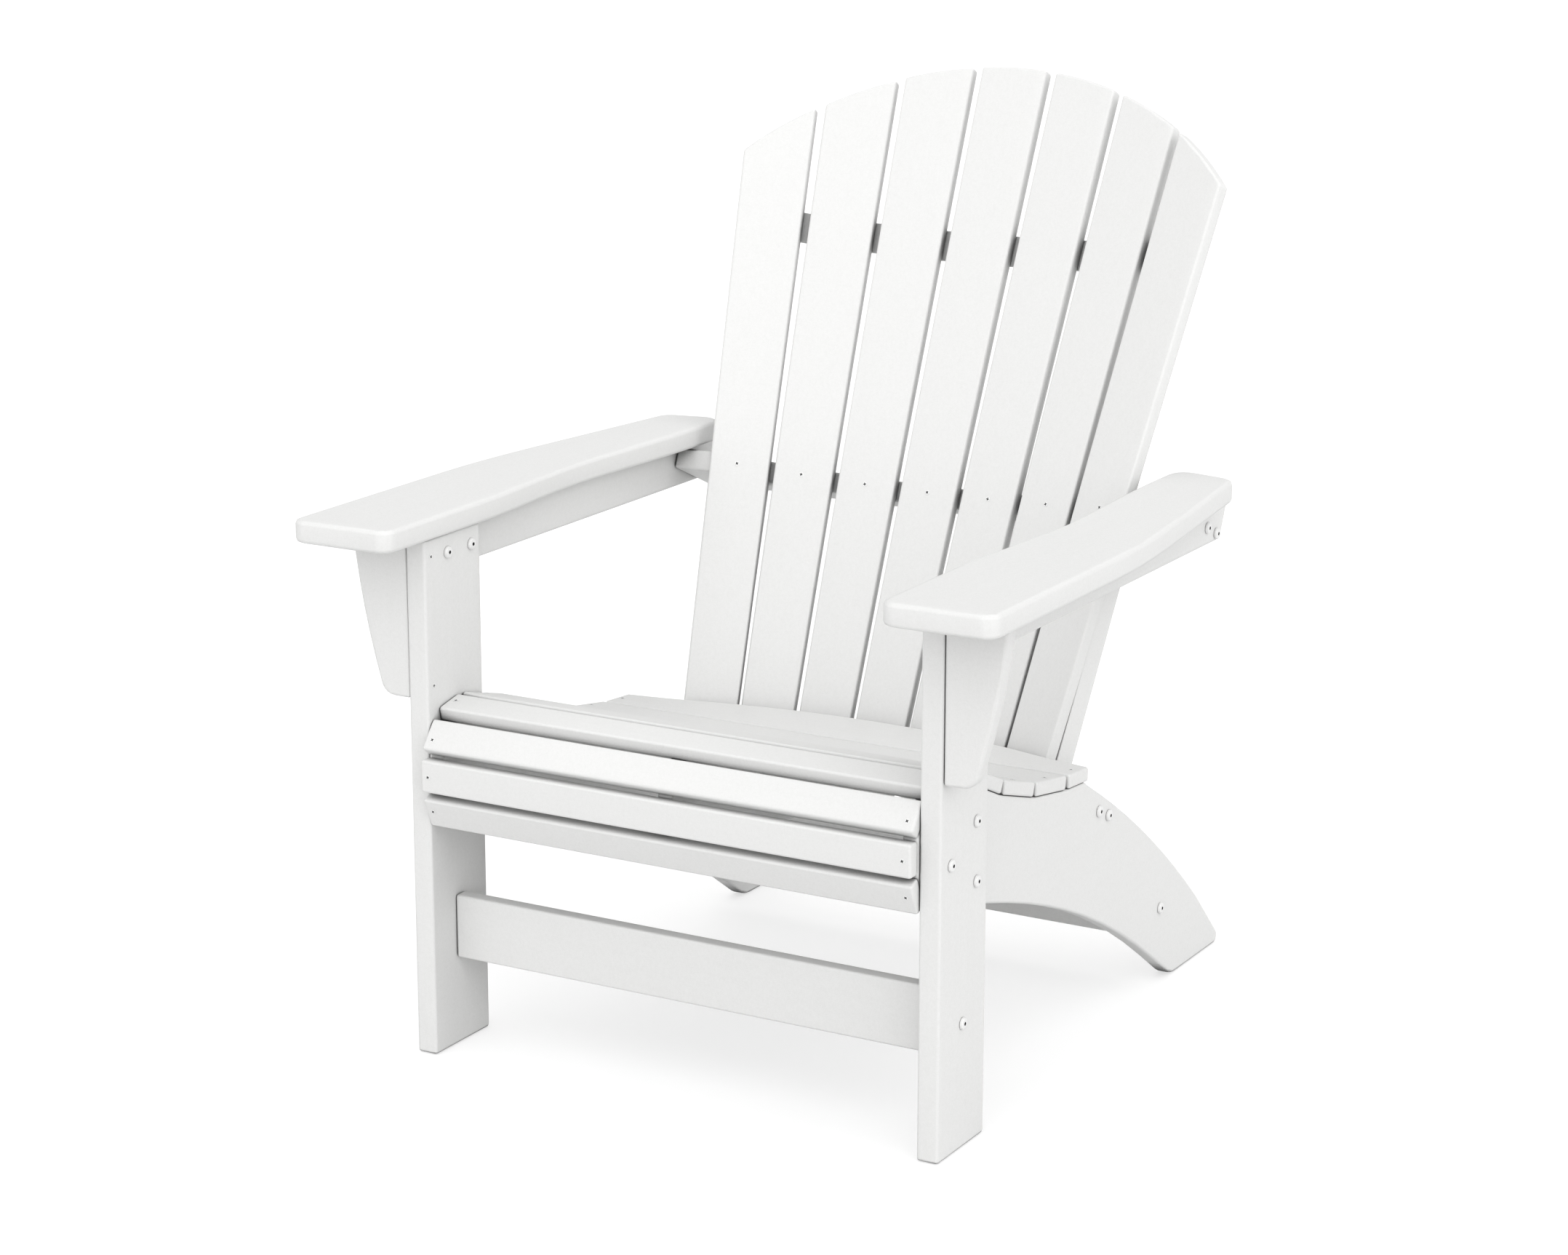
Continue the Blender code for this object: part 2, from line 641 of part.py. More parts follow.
def flats_edge(s, setback, end_reach):
    """The line that follows all the slats' rear faces at height s: two points for each slat."""
    middle = BACK_SLAT_COUNT // 2
    points = []
    for number in range(BACK_SLAT_COUNT):
        centre, across = slat_flat(number - middle, s, setback)
        left = end_reach if number == 0 else half_width(s) + FLAT_MARGIN
        right = end_reach if number == BACK_SLAT_COUNT - 1 else half_width(s) + FLAT_MARGIN
        points += [centre - across * left, centre + across * right]
    return points


def brace_outline(s, half_length, rear):
    """A brace in plan: its front edge follows the slats, its ends are straight and its rear is flat."""
    outline = flats_edge(s, BRACE_GAP, half_width(s) + FLAT_MARGIN)
    forward = outline[0].y
    outline = [Vector((-half_length, forward))] + outline + [Vector((half_length, forward))]
    outline += [Vector((half_length, rear)), Vector((-half_length, rear))]
    return outline


def braces(parent):
    lower_half = RAIL_INNER_X - CLEARANCE
    for name, s, half_length, rear in (
        ("lower_back_brace", LOWER_BRACE_S, lower_half, LOWER_BRACE_REAR),
        ("arm_brace", ARM_BRACE_S, LEG_OUTER_X, ARM_BRACE_REAR),
    ):
        outlines = []
        for level in (s - THICK_BOARD / 2, s + THICK_BOARD / 2):
            plan = brace_outline(level, half_length, rear)
            outlines.append([Vector((point.x, point.y, level)) for point in plan])
        loft(name, *outlines, lumber(), parent, EDGE_RADIUS)


def upper_strap(parent):
    """The thin strip that ties the slats together near the top."""
    end_reach = half_width(STRAP_S) - STRAP_END_INSET
    outlines = []
    for level in (STRAP_S - STRAP_HEIGHT / 2, STRAP_S + STRAP_HEIGHT / 2):
        front = flats_edge(level, CLEARANCE, end_reach)
        rear = flats_edge(level, CLEARANCE + STRAP_THICKNESS, end_reach)
        plan = front + rear[::-1]
        outlines.append([Vector((point.x, point.y, level)) for point in plan])
    loft("upper_back_strap", *outlines, lumber(), parent, STRAP_EDGE_RADIUS)


def back_uprights(parent):
    """The posts behind the outer slats, standing on the lower brace and holding up the arm brace."""
    outer_index = BACK_SLAT_COUNT // 2
    low = LOWER_BRACE_S + THICK_BOARD / 2 + CLEARANCE
    high = ARM_BRACE_S - THICK_BOARD / 2 - CLEARANCE
    for side, sign in SIDES:
        outlines = []
        for s, reach in ((low, UPRIGHT_FOOT_REACH), (high, UPRIGHT_HEAD_REACH)):
            centre, across = slat_flat(sign * outer_index, s, BRACE_GAP)
            rearward = Vector((-across.y, across.x))
            outer = centre + across * (sign * reach)
            inner = outer - across * (sign * UPRIGHT_WIDTH)
            section = [inner, outer, outer + rearward * THICK_BOARD, inner + rearward * THICK_BOARD]
            outlines.append([Vector((point.x, point.y, s)) for point in section])
        loft(f"back_upright_{side}", *outlines, lumber(), parent, UPRIGHT_EDGE_RADIUS)


# ================================================================ bolts
def back_to_side(rearward, s):
    """A point given in the back frame, as (y, z) in the leg frame."""
    point = BACK_FRAME @ Vector((0.0, rearward, s))
    return point.y, point.z


def bolt_places():
    """One side's bolts: name, (y, z), x of the face the head sits on, way the shank points, shank length."""
    joint = THICK_BOARD + CLEARANCE + THIN_BOARD / 2
    places = []
    for number, spot in enumerate(LEG_BOLTS, 1):
        places.append((f"leg_bolt_{number}", spot, LEG_OUTER_X, -1, joint))
    stretcher_spot = (
        FRONT_STRETCHER_Y + THIN_BOARD / 2,
        FRONT_STRETCHER_Z + FRONT_STRETCHER_HEIGHT / 2,
    )
    end_screw = THICK_BOARD + BOLT_END_DEPTH
    places.append(("front_stretcher_bolt", stretcher_spot, LEG_OUTER_X, -1, end_screw))
    rail_z = LEG_TOP_Z - ARM_RAIL_BOLT_DROP
    for number, y in enumerate(ARM_RAIL_FRONT_BOLTS_Y, 1):
        shank = THICK_BOARD + CLEARANCE + THICK_BOARD / 2
        places.append((f"arm_rail_bolt_{number}", (y, rail_z), LEG_INNER_X, 1, shank))
    for number, rearward in enumerate(ARM_BRACE_BOLTS_R, 1):
        spot = back_to_side(rearward, ARM_BRACE_S)
        places.append((f"arm_brace_bolt_{number}", spot, ARM_RAIL_OUTER_X, -1, end_screw))
    rail_screw = THIN_BOARD + BOLT_END_DEPTH
    for number, rearward in enumerate(LOWER_BRACE_BOLTS_R, 1):
        spot = back_to_side(rearward, LOWER_BRACE_S)
        places.append((f"lower_brace_bolt_{number}", spot, RAIL_OUTER_X, -1, rail_screw))
    rear_spot = (REAR_STRETCHER_Y, REAR_STRETCHER_Z)
    places.append(("rear_stretcher_bolt", rear_spot, RAIL_OUTER_X, -1, rail_screw))
    return places


def ring(radius, height, sides, turn=0.0):
    """Points of a regular polygon round the z axis."""
    steps = (2 * math.pi * (step + turn) / sides for step in range(sides))
    return [Vector((radius * math.cos(a), radius * math.sin(a), height)) for a in steps]


def bolt_mesh_parts(shank_length):
    """A button-head bolt along -z with its head's seat at z = 0: rings from shank tip to socket floor."""
    seat = CLEARANCE
    dome = seat + BOLT_HEAD_HEIGHT
    rings = [
        ring(BOLT_RADIUS, -shank_length, BOLT_SIDES),
        ring(BOLT_RADIUS, seat, BOLT_SIDES),
        ring(BOLT_HEAD_RADIUS, seat, BOLT_SIDES),
        ring(BOLT_HEAD_RADIUS, seat + BOLT_HEAD_HEIGHT * 0.35, BOLT_SIDES),
        ring(BOLT_HEAD_RADIUS * 0.65, dome, BOLT_SIDES),
        ring(BOLT_SOCKET_RADIUS, dome, BOLT_SIDES),
        ring(BOLT_SOCKET_RADIUS, dome - BOLT_SOCKET_DEPTH, BOLT_SIDES),
    ]
    points = [point for one in rings for point in one]
    last = (len(rings) - 1) * BOLT_SIDES
    faces = [list(range(BOLT_SIDES))[::-1], list(range(last, last + BOLT_SIDES))]
    for level in range(len(rings) - 1):
        for step in range(BOLT_SIDES):
            after = (step + 1) % BOLT_SIDES
            low, high = level * BOLT_SIDES, (level + 1) * BOLT_SIDES
            faces.append([low + step, low + after, high + after, high + step])
    return points, faces


def bolts(parent):
    for side, sign in SIDES:
        for name, (y, z), face_x, inward, shank in bolt_places():
            points, faces = bolt_mesh_parts(shank - BOLT_END_CLEARANCE)
            outward = Vector((-inward * sign, 0, 0))
            turn = outward.to_track_quat("Z", "Y").to_matrix().to_4x4()
            place = Matrix.Translation((sign * face_x, y, z)) @ turn
            solid(f"{name}_{side}", points, faces, coated_steel(), parent, 0.0, place)


def bolt_bores(parent):
    """Each side's bolt holes as one hidden cutter, and the boards that it bores."""
    bored = {
        "front_leg_{}": None,
        "side_rail_{}": None,
        "arm_rail_{}": None,
        "front_stretcher": None,
        "rear_stretcher": None,
        "arm_brace": None,
        "lower_back_brace": None,
    }
    radius = BOLT_RADIUS + BOLT_HOLE_CLEARANCE
    for side, sign in SIDES:
        points = []
        faces = []
        for _, (y, z), face_x, inward, shank in bolt_places():
            first = len(points)
            for x in (face_x - inward * BOLT_END_CLEARANCE, face_x + inward * shank):
                points += [Vector((sign * x, y + p.x, z + p.y)) for p in ring(radius, 0, BOLT_SIDES)]
            near = list(range(first, first + BOLT_SIDES))
            far = list(range(first + BOLT_SIDES, first + 2 * BOLT_SIDES))
            walls = [
                [near[i - 1], near[i], far[i], far[i - 1]] for i in range(BOLT_SIDES)
            ]
            drill = [near[::-1]] + walls + [far]
            if inward * sign > 0:
                drill = [face[::-1] for face in drill]
            faces += [face[::-1] for face in drill]
        cutter = solid(f"bolt_bores_{side}", points, faces, lumber(), parent)
        cutter.hide_render = True
        cutter.display_type = "WIRE"
        for pattern in bored:
            board = bpy.data.objects[pattern.format(side)]
            bore = board.modifiers.new(f"bolt_holes_{side}", "BOOLEAN")
            bore.object = cutter
            bore.operation = "DIFFERENCE"


def even_shading():
    """Keeps the flat faces flat in shading, on every board, after its bevels and bores."""
    for thing in bpy.data.objects:
        if thing.type == "MESH" and not thing.hide_render:
            evened = thing.modifiers.new("even_shading", "WEIGHTED_NORMAL")
            evened.keep_sharp = True


# ================================================================ assembly
def frame_empty(name, matrix, parent=None):
    empty = bpy.data.objects.new(name, None)
    bpy.context.scene.collection.objects.link(empty)
    empty.parent = parent
    empty.matrix_local = matrix
    return empty


def centre_over_origin(frame):
    """Moves the whole chair so that the middle of its footprint is over the origin."""
    bpy.context.view_layer.update()
    graph = bpy.context.evaluated_depsgraph_get()
    reach = []
    for thing in bpy.data.objects:
        if thing.type == "MESH" and not thing.hide_render:
            shape = thing.evaluated_get(graph)
            reach += [(shape.matrix_world @ vertex.co).y for vertex in shape.data.vertices]
    frame.location.y = -(min(reach) + max(reach)) / 2
    print("chair frame moved by", frame.location.y)


def build():
    for thing in list(bpy.data.objects):
        bpy.data.objects.remove(thing, do_unlink=True)
    chair = frame_empty("chair", Matrix.Identity(4))
    back = frame_empty("back_frame", BACK_FRAME, chair)
    front_legs(chair)
    stretchers(chair)
    side_rails(chair)
    centre_rail(chair)
    apron_slats(chair)
    seat_slats(chair)
    rear_seat_slat(chair)
    arm_brackets(chair)
    arm_rails(chair)
    armrests(chair)
    back_slats(back)
    braces(back)
    upper_strap(back)
    back_uprights(back)
    bolts(chair)
    bolt_bores(chair)
    even_shading()
    centre_over_origin(chair)


build()
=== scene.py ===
import math

import bmesh
import bpy
from bpy.props import FloatProperty, FloatVectorProperty, PointerProperty
from mathutils import Matrix, Vector
from mathutils.bvhtree import BVHTree


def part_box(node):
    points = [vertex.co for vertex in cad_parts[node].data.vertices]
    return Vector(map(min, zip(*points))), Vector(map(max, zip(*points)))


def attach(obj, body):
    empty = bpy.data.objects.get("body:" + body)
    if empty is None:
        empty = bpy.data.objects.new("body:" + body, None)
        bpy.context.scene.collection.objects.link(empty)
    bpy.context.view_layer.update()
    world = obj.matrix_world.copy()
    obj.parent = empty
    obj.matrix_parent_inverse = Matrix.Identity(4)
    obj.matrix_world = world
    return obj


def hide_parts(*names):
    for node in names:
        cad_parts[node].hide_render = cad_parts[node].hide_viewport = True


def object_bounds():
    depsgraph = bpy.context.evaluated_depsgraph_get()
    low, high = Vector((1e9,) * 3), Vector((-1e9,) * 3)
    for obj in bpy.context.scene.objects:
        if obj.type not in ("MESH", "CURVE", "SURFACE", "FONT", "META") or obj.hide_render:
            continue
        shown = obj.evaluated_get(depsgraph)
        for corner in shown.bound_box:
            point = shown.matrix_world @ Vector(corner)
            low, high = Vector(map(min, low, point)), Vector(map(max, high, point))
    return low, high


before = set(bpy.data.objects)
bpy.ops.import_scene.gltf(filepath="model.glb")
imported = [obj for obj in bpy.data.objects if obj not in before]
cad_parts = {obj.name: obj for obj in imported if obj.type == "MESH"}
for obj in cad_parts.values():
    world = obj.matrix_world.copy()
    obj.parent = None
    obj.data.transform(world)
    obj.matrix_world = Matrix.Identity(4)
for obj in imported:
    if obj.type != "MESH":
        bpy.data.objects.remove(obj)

bl_info = {
    "name": "Adirondack Chair Finish",
    "version": (1, 0, 0),
    "blender": (4, 5, 0),
    "location": "3D View > Sidebar > Chair",
    "description": "Plastic-lumber finish, bolts, screws and studio for an Adirondack chair",
    "category": "Object",
}

CAD_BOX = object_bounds()
BODY = "root"
BOARDS_ALONG = {
    "x": (
        "seat_slat_1_nose",
        "seat_slat_2",
        "seat_slat_3",
        "seat_slat_4",
        "seat_slat_5",
        "seat_slat_6_rear",
        "apron_slat_top",
        "apron_slat_middle",
        "apron_slat_bottom",
        "front_stretcher",
        "rear_stretcher",
        "arm_brace",
        "lower_back_brace",
        "upper_back_strap",
    ),
    "y": (
        "armrest_left",
        "armrest_right",
        "arm_rail_left",
        "arm_rail_right",
        "centre_rail",
    ),
    "z": (
        "front_leg_left",
        "front_leg_right",
        "arm_bracket_left",
        "arm_bracket_right",
    ),
    "foot": ("side_rail_left", "side_rail_right"),
    "back": (
        "back_slat_1",
        "back_slat_2",
        "back_slat_3",
        "back_slat_4",
        "back_slat_5",
        "back_slat_6",
        "back_slat_7",
        "back_upright_left",
        "back_upright_right",
    ),
}
RECLINE_DEGREES = 24.2
# Turns, in degrees, that lay each board's length along x, where the streaks of its finish run.
GRAIN_TURN = {
    "x": (0.0, 0.0, 0.0),
    "y": (0.0, 0.0, -90.0),
    "z": (0.0, 90.0, 0.0),
    "foot": (20.0, 0.0, -90.0),
    "back": (0.0, 90.0, RECLINE_DEGREES),
}
SEAT_SLATS = BOARDS_ALONG["x"][:6]
APRON_SLATS = BOARDS_ALONG["x"][6:9]
BACK_SLATS = BOARDS_ALONG["back"][:7]
RECLINE = math.radians(RECLINE_DEGREES)
UP_THE_BACK = Vector((0.0, math.sin(RECLINE), math.cos(RECLINE)))
OUT_OF_THE_BACK = Vector((0.0, -math.cos(RECLINE), math.sin(RECLINE)))

# Hidden or fine sizes of the fasteners, in metres.
BOLT_SOCKET_DEPTH = 0.0020
BOLT_SHANK = 0.0062
SCREW_SHANK = 0.0036
SCREW_LENGTH = 0.0120
HEAD_UNDERSIDE = 0.0002  # height of a head's flat underside over the board
DOME_STEPS = 5
DOME_FLAT = 0.62  # share of a head's radius that its dome's top spans
DOME_SIDE = 0.30  # share of a head's height that its upright side takes
RECESS_TAPER = 0.86
# A screw's recess, as shares of its head's diameter and height. It ends above the board.
CROSS_LENGTH = 0.55
CROSS_WIDTH = 0.17
CROSS_DEPTH = 0.8
HEAD_SIDES = 48
# How far each fastener is turned from the one before it, in radians.
BOLT_SPIN = math.radians(17.0)
BACK_SCREW_SPIN = 0.6
STRAP_SCREW_SPIN = 0.9
BRACKET_SCREW_SPIN = 0.8
SEAT_SCREW_SPIN = 18.9  # for each metre along the seat
REAR_SLAT_SCREW_BACK = 0.024  # from the rear seat slat's front edge
BRACKET_SCREW_DOWN = 0.020  # from the bracket's top
BRACKET_SCREW_UP = 0.016  # from the bracket's bottom
CLEAR = 0.1  # how far outside the chair a search for a board starts
FAR = 2.0  # the same, along the leaning back

# Shading of the boards' edges.
MERGE_WITHIN = 0.00001
SHARP_EDGE = math.radians(55)
SHARP_HEAD_EDGE = math.radians(48)

# The camera stands at x and z, and at y from the fronts of the legs, in metres.
CAMERA_PLACE = (1.9540, -3.1693, 1.5055)
CAMERA_SWING, CAMERA_DROP, CAMERA_ROLL = (math.radians(a) for a in (29.723, 14.617, 0.05))
SENSOR_WIDTH = 36.0
# Each light's heading from straight ahead of the chair and its height, both in degrees,
# then its strength and its spread in degrees.
LIGHTS = {
    "front_light": (20.0, 30.0, 0.55, 60.0),
    "side_light": (80.0, 15.0, 0.75, 60.0),
    "top_light": (0.0, 80.0, 0.56, 80.0),
}
BEHIND = (-0.5, 0.87, 0.0)  # the side of the room that the camera faces
ROOM_BEFORE, ROOM_BEHIND = 1.30, 0.75  # the room's brightness on each side
FLOOR_HALF = 14.0
FLOOR_PLACE = (0.0, 2.0, -0.0004)
FLOOR_BOUNCE = 0.75  # share of the floor's colour that lights the chair
FLOOR_SHADED = 0.40  # share of the floor's colour that shows its shadows
FLOOR_GLOW = 0.62  # the evenly bright rest of the floor


# ---------------------------------------------------------------- what a user may change
class ChairSizes(bpy.types.PropertyGroup):
    bolt_head: FloatProperty(
        name="Bolt Head",
        description="Diameter of the button-head bolts",
        default=0.0134,
        unit="LENGTH",
    )
    bolt_height: FloatProperty(
        name="Bolt Height",
        description="How far a bolt head stands off the board",
        default=0.0034,
        unit="LENGTH",
    )
    bolt_socket: FloatProperty(
        name="Bolt Socket",
        description="Width of the hexagon socket across its flats",
        default=0.0038,
        unit="LENGTH",
    )
    screw_head: FloatProperty(
        name="Screw Head",
        description="Diameter of the slat screws' heads",
        default=0.0064,
        unit="LENGTH",
    )
    screw_height: FloatProperty(
        name="Screw Height",
        description="How far a screw head stands off the slat",
        default=0.0004,
        unit="LENGTH",
    )
    slat_screw_inset: FloatProperty(
        name="Slat Screw Inset",
        description="Distance of a slat's screws from its ends",
        default=0.0096,
        unit="LENGTH",
    )
    camera_lens: FloatProperty(
        name="Lens",
        description="Focal length of the camera",
        default=84.5,
        unit="CAMERA",
    )


class ChairColours(bpy.types.PropertyGroup):
    lumber: FloatVectorProperty(
        name="Lumber",
        description="Main colour of the plastic boards",
        default=(0.62, 0.62, 0.615),
        size=3,
        subtype="COLOR",
    )
    lumber_fleck: FloatVectorProperty(
        name="Lumber Flecks",
        description="Colour of the fine mottling in the boards",
        default=(0.575, 0.575, 0.568),
        size=3,
        subtype="COLOR",
    )
    fastener: FloatVectorProperty(
        name="Fasteners",
        description="Colour of the coated bolts and screws",
        default=(0.66, 0.66, 0.655),
        size=3,
        subtype="COLOR",
    )
    # The driver recess colour is near-black painted shade in a bolt's or screw's recess.
    recess: FloatVectorProperty(
        name="Driver Recess",
        description="Dim metal in a bolt's or screw's recess",
        default=(0.015, 0.015, 0.015),
        size=3,
        subtype="COLOR",
    )
    floor: FloatVectorProperty(
        name="Floor",
        description="Colour of the studio floor",
        default=(0.98, 0.98, 0.98),
        size=3,
        subtype="COLOR",
    )


# ---------------------------------------------------------------- node helpers
SURFACE_OUTPUTS = (
    ("Colour", "NodeSocketColor"),
    ("Roughness", "NodeSocketFloat"),
    ("Height", "NodeSocketFloat"),
)


def new_group(name, sockets_in, sockets_out):
    """A shader node group with its sockets, its input node and its output node."""
    group = bpy.data.node_groups.new(name, "ShaderNodeTree")
    for label, kind, value in sockets_in:
        socket = group.interface.new_socket(label, in_out="INPUT", socket_type=kind)
        socket.default_value = value
    for label, kind in sockets_out:
        group.interface.new_socket(label, in_out="OUTPUT", socket_type=kind)
    return group, group.nodes.new("NodeGroupInput"), group.nodes.new("NodeGroupOutput")


def noise(tree, vector, scale, detail, roughness=0.5):
    node = tree.nodes.new("ShaderNodeTexNoise")
    node.inputs["Scale"].default_value = scale
    node.inputs["Detail"].default_value = detail
    node.inputs["Roughness"].default_value = roughness
    tree.links.new(vector, node.inputs["Vector"])
    return node.outputs["Fac"]


def remap(tree, value, low, high, to_low, to_high):
    node = tree.nodes.new("ShaderNodeMapRange")
    node.inputs["From Min"].default_value = low
    node.inputs["From Max"].default_value = high
    node.inputs["To Min"].default_value = to_low
    node.inputs["To Max"].default_value = to_high
    tree.links.new(value, node.inputs["Value"])
    return node.outputs["Result"]


def calculate(tree, operation, first, second):
    node = tree.nodes.new("ShaderNodeMath")
    node.operation = operation
    for socket, value in zip(node.inputs, (first, second)):
        if isinstance(value, (int, float)):
            socket.default_value = value
        else:
            tree.links.new(value, socket)
    return node.outputs[0]


def total(tree, first, *others):
    for value in others:
        first = calculate(tree, "ADD", first, value)
    return first


def stretched(tree, vector, scale):
    node = tree.nodes.new("ShaderNodeVectorMath")
    node.operation = "MULTIPLY"
    node.inputs[1].default_value = scale
    tree.links.new(vector, node.inputs[0])
    return node.outputs[0]


def scaled(tree, vector, share):
    """A colour or a vector times one number from a socket."""
    node = tree.nodes.new("ShaderNodeVectorMath")
    node.operation = "SCALE"
    tree.links.new(vector, node.inputs[0])
    tree.links.new(share, node.inputs["Scale"])
    return node.outputs["Vector"]


def polymer_grain():
    """Moulded polymer: fine pebbling, mottling, faint streaks and rougher sawn ends."""
    group, inside, out = new_group(
        "polymer_grain",
        (
            ("Board Vector", "NodeSocketVector", (0.0, 0.0, 0.0)),
            ("Board Normal", "NodeSocketVector", (0.0, 0.0, 1.0)),
            ("Main Colour", "NodeSocketColor", (0.8, 0.8, 0.8, 1.0)),
            ("Fleck Colour", "NodeSocketColor", (0.7, 0.7, 0.7, 1.0)),
            ("Pebble Scale", "NodeSocketFloat", 900.0),
            ("Base Roughness", "NodeSocketFloat", 0.5),
        ),
        SURFACE_OUTPUTS,
    )
    vector = inside.outputs["Board Vector"]
    pebble = noise(group, scaled(group, vector, inside.outputs["Pebble Scale"]), 1.0, 2.0, 0.6)
    mottle = noise(group, vector, 260.0, 3.0, 0.65)
    streak = noise(group, stretched(group, vector, (4.0, 150.0, 150.0)), 1.0, 2.0)
    cloud = noise(group, vector, 9.0, 1.0)

    fleck = total(
        group,
        remap(group, pebble, 0.36, 0.70, 0.0, 0.55),
        remap(group, mottle, 0.40, 0.70, 0.0, 0.35),
        remap(group, streak, 0.45, 0.75, 0.0, 0.12),
    )
    tint = group.nodes.new("ShaderNodeMix")
    tint.data_type = "RGBA"
    group.links.new(fleck, tint.inputs["Factor"])
    group.links.new(inside.outputs["Main Colour"], tint.inputs["A"])
    group.links.new(inside.outputs["Fleck Colour"], tint.inputs["B"])
    group.links.new(tint.outputs["Result"], out.inputs["Colour"])

    split = group.nodes.new("ShaderNodeSeparateXYZ")
    group.links.new(inside.outputs["Board Normal"], split.inputs[0])
    facing = calculate(group, "ABSOLUTE", split.outputs["X"], 0.0)
    sawn = remap(group, facing, 0.90, 0.98, 0.0, 1.0)
    saw_lines = noise(group, stretched(group, vector, (20.0, 40.0, 1400.0)), 1.0, 1.0)
    sawn_height = calculate(group, "MULTIPLY", sawn, saw_lines)

    rough = total(
        group,
        remap(group, cloud, 0.3, 0.7, -0.03, 0.03),
        remap(group, pebble, 0.3, 0.7, -0.05, 0.07),
        calculate(group, "MULTIPLY", sawn, 0.12),
        inside.outputs["Base Roughness"],
    )
    group.links.new(rough, out.inputs["Roughness"])

    layers = ((pebble, 0.70), (mottle, 0.45), (streak, 0.35), (sawn_height, 0.6))
    height = total(group, *(calculate(group, "MULTIPLY", *layer) for layer in layers))
    group.links.new(height, out.inputs["Height"])
    return group


def coating_speckle():
    """Baked-on coating: fine orange peel with slight changes of colour and gloss."""
    group, inside, out = new_group(
        "coating_speckle",
        (
            ("Vector", "NodeSocketVector", (0.0, 0.0, 0.0)),
            ("Main Colour", "NodeSocketColor", (0.8, 0.8, 0.8, 1.0)),
            ("Peel Scale", "NodeSocketFloat", 1500.0),
            ("Base Roughness", "NodeSocketFloat", 0.3),
        ),
        SURFACE_OUTPUTS,
    )
    vector = scaled(group, inside.outputs["Vector"], inside.outputs["Peel Scale"])
    peel = noise(group, vector, 1.0, 2.0)
    shade = remap(group, peel, 0.3, 0.7, 0.94, 1.0)
    group.links.new(scaled(group, inside.outputs["Main Colour"], shade), out.inputs["Colour"])
    unevenness = remap(group, peel, 0.3, 0.7, -0.04, 0.06)
    rough = total(group, unevenness, inside.outputs["Base Roughness"])
    group.links.new(rough, out.inputs["Roughness"])
    group.links.new(peel, out.inputs["Height"])
    return group


def gap_shade():
    """Dimness in the narrow gaps between boards."""
    group, inside, out = new_group(
        "gap_shade",
        (
            ("Colour", "NodeSocketColor", (0.8, 0.8, 0.8, 1.0)),
            ("Reach", "NodeSocketFloat", 0.04),
            ("Darkest", "NodeSocketFloat", 0.15),
        ),
        (("Colour", "NodeSocketColor"),),
    )
    open_air = group.nodes.new("ShaderNodeAmbientOcclusion")
    open_air.samples = 8
    group.links.new(inside.outputs["Reach"], open_air.inputs["Distance"])
    openness = remap(group, open_air.outputs["AO"], 0.10, 0.50, 0.0, 1.0)
    lift = calculate(group, "SUBTRACT", 1.0, inside.outputs["Darkest"])
    share = total(
        group, calculate(group, "MULTIPLY", openness, lift), inside.outputs["Darkest"]
    )
    group.links.new(scaled(group, inside.outputs["Colour"], share), out.inputs["Colour"])
    return group


def effect_node(tree, maker):
    """A node of an effect's group, which is built the first time that it's needed."""
    node = tree.nodes.new("ShaderNodeGroup")
    node.node_tree = bpy.data.node_groups.get(maker.__name__) or maker()
    return node


def principled_with(name, maker, bump_distance, bump_strength):
    """A material fed by an effect's group, with its node tree, its shader and the group's node."""
    finish = bpy.data.materials.new(name)
    finish.use_nodes = True
    tree = finish.node_tree
    surface = tree.nodes["Principled BSDF"]
    effect = effect_node(tree, maker)
    bump = tree.nodes.new("ShaderNodeBump")
    bump.inputs["Distance"].default_value = bump_distance
    bump.inputs["Strength"].default_value = bump_strength
    tree.links.new(effect.outputs["Colour"], surface.inputs["Base Color"])
    tree.links.new(effect.outputs["Roughness"], surface.inputs["Roughness"])
    tree.links.new(effect.outputs["Height"], bump.inputs["Height"])
    tree.links.new(bump.outputs["Normal"], surface.inputs["Normal"])
    return finish, tree, surface, effect


def speckled_with(name, colour, scale, roughness, bump_distance, bump_strength):
    """A material with the coating's speckle, mapped by the object's own coordinates."""
    finish, tree, surface, peel = principled_with(
        name, coating_speckle, bump_distance, bump_strength
    )
    place = tree.nodes.new("ShaderNodeTexCoord")
    tree.links.new(place.outputs["Object"], peel.inputs["Vector"])
    peel.inputs["Main Colour"].default_value = (*colour, 1.0)
    peel.inputs["Peel Scale"].default_value = scale
    peel.inputs["Base Roughness"].default_value = roughness
    return finish, tree, surface, peel


